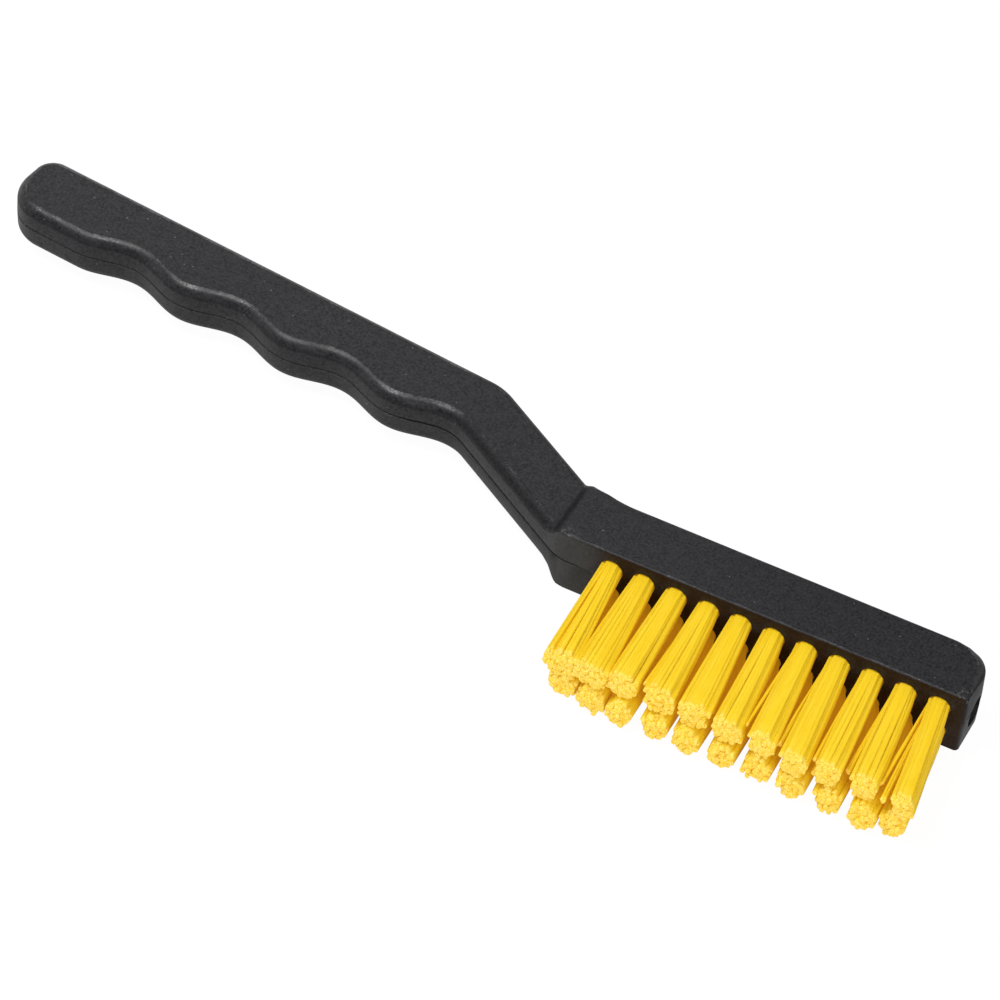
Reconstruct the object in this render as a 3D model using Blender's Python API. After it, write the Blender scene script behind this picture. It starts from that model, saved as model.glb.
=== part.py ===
"""Anti-static hand brush, lying on its flat side.

+X runs along the head towards its tip, -Y is the way the bristles point, and +Z is up.
The origin is at the bottom centre of the whole brush. All sizes are in metres.
The handle is one moulding. Each tuft is a bundle of filaments folded round a flat metal
anchor, and the anchor's ends sit in slits in the wall of the tuft's blind hole.
"""

import math
import random

import bmesh
import bpy
from mathutils import Vector
from mathutils.geometry import delaunay_2d_cdt

# Head: its two flat faces lie this far above and below the parting plane
head_length = 0.0675
head_depth = 0.0106
head_above = 0.0054
head_below = 0.0059
head_edge_radius = 0.0005
tip_front_radius = 0.0006
tip_back_radius = 0.0050
ramp_length = 0.0013
heel_front_radius = 0.0070
heel_back_radius = 0.0180

# Neck
neck_start = 0.0043
neck_length = 0.0287
neck_width = 0.0105
neck_angle = math.radians(31.5)
edge_blend_length = 0.0024

# Grip
grip_length = 0.0881
grip_width = 0.0130
grip_thickness = 0.0080
grip_edge_radius = 0.0018
grip_angle = math.radians(6.3)
elbow_radius = 0.0100
end_back_radius = 0.0036
end_front_radius = 0.0070

# Finger grooves along the bristle side of the grip
groove_count = 4
groove_pitch = 0.0198
groove_depth = 0.0023
first_groove = 0.0036
crest_share = 0.5

# Moulding
draft_angle = math.radians(1.5)

# Tuft holes
tufts_per_row = 11
first_tuft = 0.01045
last_tuft_inset = 0.0042
row_spacing = 0.0049
row_drop = 0.0005
hole_share = 0.72
hole_depth = 0.0072

# Tufts
bristle_length = 0.0205
length_spread = 0.0007
strand_share = 0.105
mouth_inset = 0.0005
fold_thickness = 0.0009
fold_narrowing_share = 0.7
first_lean_angle = math.radians(4.7)
last_lean_angle = math.radians(8.7)
tip_spread_share = 0.93

# Anchors
anchor_thickness = 0.0004
anchor_height = 0.0016
anchor_bite_share = 0.06
anchor_point = 0.0003

# Clearances, and how far a cutter runs past what it cuts
seat_gap = 0.0003
overrun = 0.0020

# Round recess in the end face of the tip
recess_diameter = 0.0050
recess_depth = 0.0010
recess_drop = 0.0017

# Sizes that follow from the ones above
tuft_pitch = (head_length - first_tuft - last_tuft_inset) / (tufts_per_row - 1)
hole_diameter = hole_share * tuft_pitch
strand_width = strand_share * hole_diameter
tip_diameter = tip_spread_share * min(tuft_pitch, row_spacing)
anchor_length = hole_diameter * (1 + 2 * anchor_bite_share)

# Fineness of the curved surfaces
arc_step_angle = math.radians(12.0)
grip_arc_step_angle = math.radians(16.0)
steps_per_groove = 12
edge_steps = 4
ramp_steps = 4
heel_step = 0.0006
hole_sides = 16
recess_sides = 24
plug_sides = 12
strand_ring_counts = (1, 5, 10)
strand_ring_shares = (0.0, 0.42, 0.80)
bend_share = 0.45
bend_lean_share = 0.2
shading_angle = math.radians(35.0)
tuft_shading_angle = math.radians(25.0)
parting_band_share = 0.001
weld_share = 0.00001


def clear_scene():
    for obj in list(bpy.data.objects):
        bpy.data.objects.remove(obj, do_unlink=True)


def make_material(name, colour, roughness, metallic=0.0):
    material = bpy.data.materials.new(name)
    material.use_nodes = True
    shader = material.node_tree.nodes["Principled BSDF"]
    shader.inputs["Base Color"].default_value = (*colour, 1.0)
    shader.inputs["Roughness"].default_value = roughness
    shader.inputs["Metallic"].default_value = metallic
    return material


def smooth_step(share):
    share = min(max(share, 0.0), 1.0)
    return share * share * (3.0 - 2.0 * share)


def face_height(x, side):
    """How far the handle's upper or lower face lies from the parting plane at x: the head stands
    proud of the neck past its ramp."""
    head_face = head_above if side > 0 else head_below
    return grip_thickness / 2 + (head_face - grip_thickness / 2) * smooth_step(x / ramp_length)


def edge_radius(x):
    """The round of the long edges: wide on the grip and neck, and crisp on the head."""
    share = smooth_step((x + edge_blend_length) / (edge_blend_length + ramp_length))
    return grip_edge_radius + (head_edge_radius - grip_edge_radius) * share


def rounded_corner(before, corner, after, radius, step_angle):
    """The points of an arc of this radius that rounds off a corner of an outline."""
    towards_before = (before - corner).normalized()
    towards_after = (after - corner).normalized()
    between = towards_before.angle(towards_after)
    turn = math.pi - between
    reach = radius / math.tan(between / 2)
    centre = corner + (towards_before + towards_after).normalized() * (radius / math.sin(between / 2))
    start = corner + towards_before * reach - centre
    side = corner + towards_after * reach - centre
    sense = 1.0 if start.cross(side) > 0 else -1.0
    steps = max(2, math.ceil(turn / step_angle))
    points = []
    for i in range(steps + 1):
        angle = sense * turn * i / steps
        cos_a = math.cos(angle)
        sin_a = math.sin(angle)
        turned = Vector((start.x * cos_a - start.y * sin_a, start.x * sin_a + start.y * cos_a))
        points.append(centre + turned)
    return points


def unit(angle):
    return Vector((math.cos(angle), math.sin(angle)))


class Spine:
    """The straight stretches that the outline of the handle is drawn from."""

    def __init__(self):
        self.neck_run = unit(math.pi - neck_angle)
        self.neck_in = unit(-math.pi / 2 - neck_angle)
        self.grip_run = unit(math.pi - grip_angle)
        self.grip_in = unit(-math.pi / 2 - grip_angle)
        self.back_heel = Vector((neck_start, head_depth))
        self.elbow = self.back_heel + self.neck_run * neck_length
        self.neck_front = self.back_heel + self.neck_in * neck_width
        self.front_heel = self.crossing(Vector((0.0, 0.0)), Vector((1.0, 0.0)))
        groove = self.on_grip(first_groove, grip_width - groove_depth)
        self.front_elbow = self.crossing(groove, self.grip_run)
        self.front_elbow_reach = (groove - self.front_elbow).length

    def crossing(self, point, run):
        """Where a line meets the front line of the neck."""
        across = run.cross(self.neck_run)
        along = (self.neck_front - point).cross(self.neck_run) / across
        return point + run * along

    def on_grip(self, along, depth):
        """A point of the grip, by its distance from the elbow and from the back edge."""
        return self.elbow + self.grip_run * along + self.grip_in * depth


def groove_points(spine):
    """The waved front of the grip, from the crest beyond the last groove to the first hollow."""
    points = []
    length_in_grooves = groove_count - 1 + crest_share
    steps = round(length_in_grooves * steps_per_groove)
    for i in range(steps):
        turns = length_in_grooves * (1.0 - i / steps)
        hollow = (1.0 + math.cos(2.0 * math.pi * turns)) / 2
        along = first_groove + turns * groove_pitch
        points.append(spine.on_grip(along, grip_width - groove_depth * hollow))
    return points


def handle_outline(spine):
    """The outline at the parting plane, counter-clockwise from the front corner of the grip's end."""
    end_back = spine.on_grip(grip_length, 0.0)
    end_front = spine.on_grip(grip_length, grip_width)
    tip_front = Vector((head_length, 0.0))
    tip_back = Vector((head_length, head_depth))
    wave = groove_points(spine)
    elbow_front_radius = spine.front_elbow_reach / math.tan((neck_angle - grip_angle) / 2)
    coarse = grip_arc_step_angle
    fine = arc_step_angle
    points = rounded_corner(end_back, end_front, wave[0], end_front_radius, coarse)
    points += wave
    points += rounded_corner(wave[-1], spine.front_elbow, spine.front_heel, elbow_front_radius, fine / 2)
    points += rounded_corner(spine.front_elbow, spine.front_heel, tip_front, heel_front_radius, fine)
    points += rounded_corner(spine.front_heel, tip_front, tip_back, tip_front_radius, 2 * fine)
    points += rounded_corner(tip_front, tip_back, spine.back_heel, tip_back_radius, fine)
    points += rounded_corner(tip_back, spine.back_heel, spine.elbow, heel_back_radius, fine / 2)
    points += rounded_corner(spine.back_heel, spine.elbow, end_back, elbow_radius, fine / 2)
    points += rounded_corner(spine.elbow, end_back, end_front, end_back_radius, coarse)
    return with_heel_points(points)


def with_heel_points(points):
    """Adds points where the long edges change from round to crisp, so that the change is smooth."""
    finer = []
    for i, point in enumerate(points):
        finer.append(point)
        after = points[(i + 1) % len(points)]
        low = max(min(point.x, after.x), -edge_blend_length)
        high = min(max(point.x, after.x), ramp_length)
        if high - low <= heel_step:
            continue
        count = math.ceil((high - low) / heel_step)
        stations = [low + (high - low) * j / count for j in range(count + 1)]
        if after.x < point.x:
            stations.reverse()
        for x in stations:
            if abs(x - point.x) > heel_step / 2 and abs(x - after.x) > heel_step / 2:
                finer.append(point.lerp(after, (x - point.x) / (after.x - point.x)))
    return finer


def inward_normals(points):
    """For each point of a counter-clockwise outline, the step that moves both its sides in by one."""
    normals = []
    for i, point in enumerate(points):
        before = (point - points[i - 1]).normalized()
        after = (points[(i + 1) % len(points)] - point).normalized()
        mean = Vector((-before.y - after.y, before.x + after.x)).normalized()
        normals.append(mean / mean.dot(Vector((-before.y, before.x))))
    return normals


def edge_levels():
    """Each ring of the handle from bottom to top, as its side and its angle round the edge."""
    angles = [math.pi / 2 * i / edge_steps for i in range(edge_steps + 1)]
    lower = [(-1.0, angle) for angle in reversed(angles)]
    upper = [(1.0, angle) for angle in angles]
    return lower + [(0.0, 0.0)] + upper


def handle_ring(mesh, outline, normals, side, angle):
    """One ring of the handle, drawn in from the outline by the draft and by the round of the edge."""
    ring = []
    half = grip_thickness / 2
    for point, normal in zip(outline, normals):
        radius = edge_radius(point.x)
        z = side * (half - radius + radius * math.sin(angle))
        lift = abs(side) * (face_height(point.x, side) - half)
        inset = (abs(z) + lift) * math.tan(draft_angle) + radius * (1.0 - math.cos(angle))
        place = point + normal * inset
        ring.append(mesh.verts.new((place.x, place.y, z)))
    return ring


def raise_head(mesh):
    """Cuts the mesh across at the ramp's stations and lifts the head's two faces away from each other."""
    for i in range(ramp_steps + 1):
        geometry = mesh.verts[:] + mesh.edges[:] + mesh.faces[:]
        station = (ramp_length * i / ramp_steps, 0.0, 0.0)
        bmesh.ops.bisect_plane(mesh, geom=geometry, plane_co=station, plane_no=(1.0, 0.0, 0.0))
    parting_band = grip_thickness * parting_band_share
    for vert in mesh.verts:
        if abs(vert.co.z) > parting_band:
            lift = face_height(vert.co.x, vert.co.z) - grip_thickness / 2
            vert.co.z += math.copysign(lift, vert.co.z)


def new_object(name, mesh, material, parent, sharp_angle=shading_angle):
    bmesh.ops.recalc_face_normals(mesh, faces=mesh.faces[:])
    data = bpy.data.meshes.new(name)
    mesh.to_mesh(data)
    mesh.free()
    data.shade_smooth()
    data.set_sharp_from_angle(angle=sharp_angle)
    data.materials.append(material)
    obj = bpy.data.objects.new(name, data)
    bpy.context.scene.collection.objects.link(obj)
    obj.parent = parent
    return obj


def new_cutter(name, mesh, material, parent):
    cutter = new_object(name, mesh, material, parent)
    cutter.hide_render = True
    cutter.display_type = "WIRE"
    return cutter


def cut(obj, cutter):
    modifier = obj.modifiers.new(cutter.name, "BOOLEAN")
    modifier.operation = "DIFFERENCE"
    modifier.solver = "EXACT"
    modifier.object = cutter


def make_handle(material, parent):
    outline = handle_outline(Spine())
    normals = inward_normals(outline)
    mesh = bmesh.new()
    rings = [handle_ring(mesh, outline, normals, side, angle) for side, angle in edge_levels()]
    for lower, upper in zip(rings, rings[1:]):
        for i in range(len(outline)):
            j = (i + 1) % len(outline)
            mesh.faces.new((lower[i], lower[j], upper[j], upper[i]))
    mesh.faces.new(list(reversed(rings[0])))
    mesh.faces.new(rings[-1])
    raise_head(mesh)
    return new_object("handle", mesh, material, parent)


def tuft_places():
    """Each tuft's row name, number, x, height from the parting plane and share of the way to the tip."""
    for row, side in (("upper", 1.0), ("lower", -1.0)):
        for i in range(tufts_per_row):
            share = i / (tufts_per_row - 1)
            z = side * row_spacing / 2 - row_drop
            yield row, i + 1, first_tuft + i * tuft_pitch, z, share


def add_round(mesh, x, z, radius, near_y, far_y, sides):
    """A cylinder along Y, with one of its flats facing up."""
    ends = []
    for y in (near_y, far_y):
        ring = []
        for i in range(sides):
            angle = 2.0 * math.pi * (i + 0.5) / sides
            ring.append(mesh.verts.new((x + radius * math.cos(angle), y, z + radius * math.sin(angle))))
        ends.append(ring)
    near, far = ends
    for i in range(sides):
        j = (i + 1) % sides
        mesh.faces.new((near[i], near[j], far[j], far[i]))
    mesh.faces.new(list(reversed(near)))
    mesh.faces.new(far)


def add_block(mesh, x, z, length, near_y, far_y, thickness):
    """A block centred on x and z, from near_y to far_y."""
    corners = []
    for y in (near_y, far_y):
        for dx, dz in ((-1, -1), (1, -1), (1, 1), (-1, 1)):
            corners.append(mesh.verts.new((x + dx * length / 2, y, z + dz * thickness / 2)))
    for face in ((0, 1, 2, 3), (7, 6, 5, 4), (0, 4, 5, 1), (1, 5, 6, 2), (2, 6, 7, 3), (3, 7, 4, 0)):
        mesh.faces.new([corners[i] for i in face])


def anchor_span():
    """The nearest and the deepest y of an anchor: the fold of the tuft lies beyond it."""
    deepest = hole_depth - seat_gap - fold_thickness - seat_gap
    return deepest - anchor_height, deepest


def cut_tuft_holes(handle, material, parent):
    holes = bmesh.new()
    slits = bmesh.new()
    near, far = anchor_span()
    for _row, _number, x, z, _share in tuft_places():
        add_round(holes, x, z, hole_diameter / 2, -overrun, hole_depth, hole_sides)
        slit_length = anchor_length + 2 * seat_gap
        add_block(slits, x, z, slit_length, near - seat_gap, far + seat_gap, anchor_thickness + 2 * seat_gap)
    cut(handle, new_cutter("hole_cutters", holes, material, parent))
    cut(handle, new_cutter("slit_cutters", slits, material, parent))


def cut_tip_recess(handle, material, parent):
    """The round recess in the middle of the end face, a little below the parting line."""
    mesh = bmesh.new()
    ends = []
    for x in (head_length - recess_depth, head_length + overrun):
        ring = []
        for i in range(recess_sides):
            angle = 2.0 * math.pi * i / recess_sides
            y = head_depth / 2 + recess_diameter / 2 * math.cos(angle)
            z = -recess_drop + recess_diameter / 2 * math.sin(angle)
            ring.append(mesh.verts.new((x, y, z)))
        ends.append(ring)
    inner, outer = ends
    for i in range(recess_sides):
        j = (i + 1) % recess_sides
        mesh.faces.new((inner[i], inner[j], outer[j], outer[i]))
    mesh.faces.new(list(reversed(inner)))
    mesh.faces.new(outer)
    cut(handle, new_cutter("recess_cutter", mesh, material, parent))


def anchor_windows(material, parent):
    """The gaps that the folded filaments leave round their anchors."""
    mesh = bmesh.new()
    near, far = anchor_span()
    for _row, _number, x, z, _share in tuft_places():
        add_block(mesh, x, z, hole_diameter, near - seat_gap, far + seat_gap, anchor_thickness + 2 * seat_gap)
    return new_cutter("window_cutters", mesh, material, parent)


def make_anchor(name, x, z, material, parent):
    """A flat strip across the hole, with its two ends cut to a blunt point."""
    near, far = anchor_span()
    middle = (near + far) / 2
    end = anchor_length / 2
    shoulder = end - anchor_point
    outline = ((-shoulder, near), (shoulder, near), (end, middle))
    outline += ((shoulder, far), (-shoulder, far), (-end, middle))
    mesh = bmesh.new()
    half = anchor_thickness / 2
    lower = [mesh.verts.new((x + dx, y, z - half)) for dx, y in outline]
    upper = [mesh.verts.new((x + dx, y, z + half)) for dx, y in outline]
    for i in range(len(outline)):
        j = (i + 1) % len(outline)
        mesh.faces.new((lower[i], lower[j], upper[j], upper[i]))
    mesh.faces.new(list(reversed(lower)))
    mesh.faces.new(upper)
    return new_object(name, mesh, material, parent)


def strand_feet(plug_radius, turn):
    """The centre of each strand on the packed bundle, ring by ring."""
    feet = []
    for count, share in zip(strand_ring_counts, strand_ring_shares):
        for i in range(count):
            angle = turn + 2.0 * math.pi * (i + 0.5) / count
            feet.append(unit(angle) * (share * plug_radius))
    return feet


def footprint(foot, angle):
    """The three corners of a strand's root."""
    radius = strand_width / math.sqrt(3.0)
    return [foot + unit(angle + 2.0 * math.pi * i / 3) * radius for i in range(3)]


def make_tuft(name, x, z, share, draw, material, parent):
    """A bundle folded round its anchor, whose strands leave the hole, lean and spread a little."""
    plug_radius = hole_diameter / 2 - seat_gap
    turn = draw.uniform(0.0, math.pi)
    feet = strand_feet(plug_radius, turn)
    rim = [unit(2.0 * math.pi * (i + 0.5) / plug_sides) * plug_radius for i in range(plug_sides)]
    points = list(rim)
    loops = [list(range(plug_sides))]
    for foot in feet:
        start = len(points)
        points += footprint(foot, draw.uniform(0.0, math.pi))
        loops.append([start, start + 1, start + 2])
    weld = plug_radius * weld_share
    flat, _edges, faces, _v, _e, origin = delaunay_2d_cdt(points, [], loops, 1, weld)
    mesh = bmesh.new()
    cap = [mesh.verts.new((x + p.x, mouth_inset, z + p.y)) for p in flat]
    roots = {}
    for face, owners in zip(faces, origin):
        made = mesh.faces.new([cap[i] for i in face])
        strands = [owner for owner in owners if owner > 0]
        if strands:
            roots[strands[0]] = made
    close_plug(mesh, [cap[i] for i in range(plug_sides)], x, z, plug_radius)
    bmesh.ops.recalc_face_normals(mesh, faces=mesh.faces[:])
    lean = math.tan(first_lean_angle + (last_lean_angle - first_lean_angle) * share)
    for number, foot in enumerate(feet, start=1):
        length = mouth_inset + bristle_length + draw.uniform(-length_spread, length_spread)
        grow_strand(mesh, roots[number], foot, length, lean, plug_radius)
    return new_object(name, mesh, material, parent, tuft_shading_angle)


def close_plug(mesh, rim, x, z, plug_radius):
    """The side and the rounded fold of the packed bundle, from its cap to the bottom of the hole."""
    bottom = hole_depth - seat_gap
    stages = ((bottom - fold_thickness / 2, 1.0), (bottom, fold_narrowing_share))
    upper = rim
    for y, scale in stages:
        lower = []
        for vert in rim:
            lower.append(mesh.verts.new((x + (vert.co.x - x) * scale, y, z + (vert.co.z - z) * scale)))
        for i in range(len(rim)):
            j = (i + 1) % len(rim)
            mesh.faces.new((upper[i], upper[j], lower[j], lower[i]))
        upper = lower
    mesh.faces.new(upper)


def grow_strand(mesh, root, foot, length, lean, plug_radius):
    """Draws one strand out of its root in two stretches, so that it curves outwards to its tip."""
    outermost = strand_ring_shares[-1] * plug_radius
    strand_radius = strand_width / math.sqrt(3.0)
    spread = (tip_diameter / 2 - strand_radius) / outermost - 1.0
    stretches = ((bend_share, bend_lean_share), (1.0, 1.0))
    bases = [vert.co.copy() for vert in root.verts]
    face = root
    for along, sideways in stretches:
        face = extrude_face(mesh, face)
        for vert, base in zip(face.verts, bases):
            vert.co.x = base.x + (foot.x * spread + length * lean) * sideways
            vert.co.z = base.z + foot.y * spread * sideways
            vert.co.y = base.y - length * along


def extrude_face(mesh, face):
    """Extrudes one triangle and returns the face at its far end, with its corners in the same order."""
    below = list(face.verts)
    above = [mesh.verts.new(vert.co) for vert in below]
    mesh.faces.remove(face)
    for i in range(len(below)):
        j = (i + 1) % len(below)
        mesh.faces.new((below[i], below[j], above[j], above[i]))
    return mesh.faces.new(above)


def rest_on_origin(parent):
    """Moves the whole brush so that the origin is at the bottom centre of its box."""
    bpy.context.view_layer.update()
    low = Vector((math.inf,) * 3)
    high = Vector((-math.inf,) * 3)
    for obj in parent.children:
        if obj.hide_render:
            continue
        for vert in obj.data.vertices:
            for axis in range(3):
                low[axis] = min(low[axis], vert.co[axis])
                high[axis] = max(high[axis], vert.co[axis])
    parent.location = (-(low.x + high.x) / 2, -(low.y + high.y) / 2, -low.z)


def main():
    clear_scene()
    brush = bpy.data.objects.new("brush", None)
    bpy.context.scene.collection.objects.link(brush)
    plastic = make_material("black_plastic", (0.028, 0.029, 0.032), 0.55)
    nylon = make_material("yellow_filament", (0.90, 0.62, 0.02), 0.40)
    metal = make_material("anchor_metal", (0.72, 0.70, 0.64), 0.35, 1.0)
    handle = make_handle(plastic, brush)
    cut_tuft_holes(handle, plastic, brush)
    cut_tip_recess(handle, plastic, brush)
    windows = anchor_windows(nylon, brush)
    draw = random.Random(11)
    for row, number, x, z, share in tuft_places():
        tuft = make_tuft(f"tuft_{row}_{number:02d}", x, z, share, draw, nylon, brush)
        cut(tuft, windows)
        make_anchor(f"anchor_{row}_{number:02d}", x, z, metal, brush)
    rest_on_origin(brush)


main()
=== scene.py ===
import math
import random

import bmesh
import bpy
from mathutils import Matrix, Vector, noise


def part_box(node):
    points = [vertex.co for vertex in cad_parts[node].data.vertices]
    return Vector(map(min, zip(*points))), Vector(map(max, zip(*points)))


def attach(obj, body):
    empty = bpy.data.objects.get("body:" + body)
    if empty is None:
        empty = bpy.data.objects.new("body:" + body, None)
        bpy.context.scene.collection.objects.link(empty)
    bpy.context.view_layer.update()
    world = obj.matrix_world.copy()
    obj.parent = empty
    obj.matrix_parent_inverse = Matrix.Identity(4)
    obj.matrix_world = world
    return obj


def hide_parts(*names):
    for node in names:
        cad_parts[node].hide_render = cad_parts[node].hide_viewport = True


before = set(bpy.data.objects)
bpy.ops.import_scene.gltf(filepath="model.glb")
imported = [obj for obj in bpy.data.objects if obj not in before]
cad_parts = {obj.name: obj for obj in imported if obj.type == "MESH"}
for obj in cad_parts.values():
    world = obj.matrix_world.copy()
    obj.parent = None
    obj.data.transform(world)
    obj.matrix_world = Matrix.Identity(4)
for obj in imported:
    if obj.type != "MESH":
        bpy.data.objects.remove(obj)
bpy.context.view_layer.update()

MM = 0.001

# ---- sizes that the solids have too
# The design frame has x = 0 at the foot of the head's ramp, y = 0 on the bristle face
# and z = 0 on the parting plane.
HEAD_LENGTH = 67.5 * MM
HEAD_ABOVE = 5.4 * MM
HEAD_BELOW = 5.9 * MM
handle_low, handle_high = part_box("handle")
ORIGIN = Vector((handle_high.x - HEAD_LENGTH, handle_low.y, handle_low.z + HEAD_BELOW))

HEAD_DEPTH = 10.6 * MM
RAMP_LENGTH = 1.3 * MM
HEEL_FRONT_RADIUS = 7.0 * MM
HEEL_BACK_RADIUS = 18.0 * MM
NECK_START = 4.3 * MM
NECK_LENGTH = 28.7 * MM
NECK_WIDTH = 10.5 * MM
NECK_ANGLE = math.radians(31.5)
EDGE_BLEND_LENGTH = 2.4 * MM
GRIP_LENGTH = 88.1 * MM
GRIP_WIDTH = 13.0 * MM
GRIP_THICKNESS = 8.0 * MM
GRIP_EDGE_RADIUS = 1.8 * MM
GRIP_ANGLE = math.radians(6.3)
ELBOW_RADIUS = 10.0 * MM
END_BACK_RADIUS = 3.6 * MM
END_FRONT_RADIUS = 7.0 * MM
GROOVE_COUNT = 4
GROOVE_PITCH = 19.8 * MM
GROOVE_DEPTH = 2.3 * MM
FIRST_GROOVE = 3.6 * MM
DRAFT_ANGLE = math.radians(1.5)
TUFTS_PER_ROW = 11
FIRST_TUFT = 10.45 * MM
TUFT_PITCH = 5.285 * MM
ROW_SPACING = 4.9 * MM
ROW_DROP = 0.5 * MM
HOLE_SHARE = 0.72
HOLE_DIAMETER = HOLE_SHARE * TUFT_PITCH
HOLE_DEPTH = 7.2 * MM
ANCHOR_NEAR = 4.1 * MM
ANCHOR_FAR = 5.7 * MM
RECESS_DIAMETER = 5.0 * MM
RECESS_DEPTH = 1.0 * MM
RECESS_DROP = 1.7 * MM

# ---- edges, corners and seam, finer here than in the solids
HEAD_EDGE_RADIUS = 0.4 * MM
LOWER_EDGE_RADIUS = 0.3 * MM
TIP_FRONT_RADIUS = 0.85 * MM
TIP_BACK_RADIUS = 4.0 * MM
RAMP_LEAD = 0.5 * MM
CREST_ANGLE = math.radians(76.0)
RIM_WIDTH = 0.17 * MM
# On the back of the head the wide edge of the neck runs on to a later end
BACK_SHARE = 0.6
BACK_BLEND_START_SHARE = 0.7
BACK_BLEND_END = 5.0 * MM
# Near the tip's end the upper edge is round again, more from front to back
TIP_EDGE_RADIUS = 1.7 * MM
TIP_EDGE_LEAD = 5.5 * MM
TIP_EDGE_RUN = 3.0 * MM
TIP_EDGE_FRONT = 0.4 * MM
TIP_EDGE_DEPTH = 7.0 * MM
# The mould's parting line is deeper on the neck and dies out before the first tuft
SEAM_HALF_WIDTH = 0.24 * MM
SEAM_FLOOR_SHARE = 0.45
SEAM_MARGIN_SHARE = 1.01
SEAM_DEPTH = 0.20 * MM
NECK_SEAM_DEPTH = 0.32 * MM
NECK_SEAM_LEAD = 8.0 * MM
NECK_SEAM_RUN = 10.0 * MM
SEAM_END = 6.1 * MM
SEAM_FADE = 1.8 * MM
FRONT_WALL_DEPTH = 2.0 * MM

# ---- fineness of the handle's mesh
ARC_STEP_ANGLE = math.radians(3.0)
TIP_FRONT_STEP_ANGLE = math.radians(9.0)
STEPS_PER_GROOVE = 40
EDGE_STEPS = 10
RAMP_STEPS = 16
RAMP_MARGIN = 0.9 * MM
HEEL_FINE_START = -EDGE_BLEND_LENGTH - 1.0 * MM
HEEL_FINE_END = 8.0 * MM
HEEL_STEP = 0.3 * MM
TIP_FINE_LENGTH = 10.0 * MM
TIP_STEP = 0.7 * MM
LONG_STEP = 2.0 * MM
HOLE_SIDES = 28
RECESS_SIDES = 40
OVERRUN = 1.0 * MM
HANDLE_CREASE_ANGLE = math.radians(28.0)


def smooth_step(share):
    share = min(max(share, 0.0), 1.0)
    return share * share * (3.0 - 2.0 * share)


def rise(value, start, run):
    """Nothing up to the start, one from a run further on, and smooth between them."""
    return smooth_step((value - start) / run)


def arch(share):
    """One in the middle of a range, and nothing at its ends and outside it."""
    return math.sin(math.pi * min(max(share, 0.0), 1.0))


def ramp_share(x):
    """How far along the ramp between neck and head a place lies, with the ramp's soft ends."""
    return (x + RAMP_LEAD) / (RAMP_LENGTH + 2 * RAMP_LEAD)


def face_height(x, side):
    """How far the upper or lower face lies from the parting plane."""
    head_face = HEAD_ABOVE if side > 0 else HEAD_BELOW
    return GRIP_THICKNESS / 2 + (head_face - GRIP_THICKNESS / 2) * smooth_step(ramp_share(x))


def edge_radius(point, side):
    """Wide on the grip, crisp on the head, and round at the upper edge of the tip's back corner."""
    start, end = -EDGE_BLEND_LENGTH, RAMP_LENGTH
    if point.y > HEAD_DEPTH * BACK_SHARE:
        start, end = RAMP_LENGTH * BACK_BLEND_START_SHARE, BACK_BLEND_END
    crisp = HEAD_EDGE_RADIUS if side > 0 else LOWER_EDGE_RADIUS
    radius = GRIP_EDGE_RADIUS + (crisp - GRIP_EDGE_RADIUS) * rise(point.x, start, end - start)
    if side < 0:
        return radius
    near_end = rise(point.x, HEAD_LENGTH - TIP_EDGE_LEAD, TIP_EDGE_RUN)
    from_front = rise(point.y, TIP_EDGE_FRONT, TIP_EDGE_DEPTH)
    return radius + (TIP_EDGE_RADIUS - radius) * near_end * from_front


def seam_depth(point):
    """How deep the parting line is cut at a point of the outline."""
    on_neck = rise(point.x, -NECK_LENGTH - NECK_SEAM_LEAD, NECK_SEAM_RUN)
    depth = SEAM_DEPTH + (NECK_SEAM_DEPTH - SEAM_DEPTH) * on_neck
    if point.x > 0 and point.y < FRONT_WALL_DEPTH:
        return depth * (1.0 - rise(point.x, SEAM_END - SEAM_FADE, SEAM_FADE))
    return depth


# ---- the handle


def unit(angle):
    return Vector((math.cos(angle), math.sin(angle)))


def rounded_corner(before, corner, after, radius, step_angle):
    """The points of an arc that touches both sides of a corner."""
    towards_before = (before - corner).normalized()
    towards_after = (after - corner).normalized()
    between = towards_before.angle(towards_after)
    turn = math.pi - between
    reach = radius / math.tan(between / 2)
    inward = (towards_before + towards_after).normalized()
    centre = corner + inward * (radius / math.sin(between / 2))
    start = corner + towards_before * reach - centre
    end = corner + towards_after * reach - centre
    sense = 1.0 if start.cross(end) > 0 else -1.0
    steps = max(2, math.ceil(turn / step_angle))
    points = []
    for i in range(steps + 1):
        angle = sense * turn * i / steps
        c, s = math.cos(angle), math.sin(angle)
        points.append(centre + Vector((start.x * c - start.y * s, start.x * s + start.y * c)))
    return points


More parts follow.
